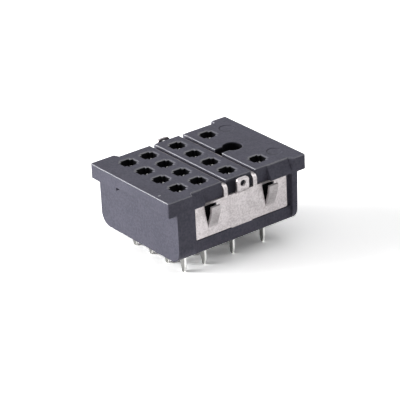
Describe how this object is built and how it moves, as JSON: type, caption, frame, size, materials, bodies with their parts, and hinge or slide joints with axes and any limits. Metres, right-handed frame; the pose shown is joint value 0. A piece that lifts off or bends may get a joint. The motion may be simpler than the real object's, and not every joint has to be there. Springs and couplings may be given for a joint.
{
  "type": "relay socket",
  "caption": "Low rectangular relay socket for a printed circuit board, with a flanged dark housing, stepped-square blade entries, solder tails and a sprung metal side bracket.",
  "frame": {"origin": "middle of the housing at its seating plane on the board", "axes": "+Z away from the board towards the relay, +X along the socket from the marking face to the keyhole end, +Y across it"},
  "size_m": [0.0279, 0.0224, 0.0151],
  "materials": {
    "housing_plastic": "fine moulded texture, dark grey",
    "base_plastic": "fine moulded texture, black",
    "spring_steel": "plated spring steel, satin",
    "tinned_contact": "copper alloy, bright tin plate"
  },
  "bodies": {
    "root": {"housing": "housing_plastic", "base_plate": "base_plastic", "bracket": "spring_steel", "contact_1": "tinned_contact", "contact_2": "tinned_contact", "contact_3": "tinned_contact", "contact_4": "tinned_contact", "contact_5": "tinned_contact", "contact_6": "tinned_contact", "contact_7": "tinned_contact", "contact_8": "tinned_contact", "contact_9": "tinned_contact", "contact_10": "tinned_contact", "contact_11": "tinned_contact", "contact_12": "tinned_contact", "contact_13": "tinned_contact", "contact_14": "tinned_contact"}
  },
  "joints": []
}
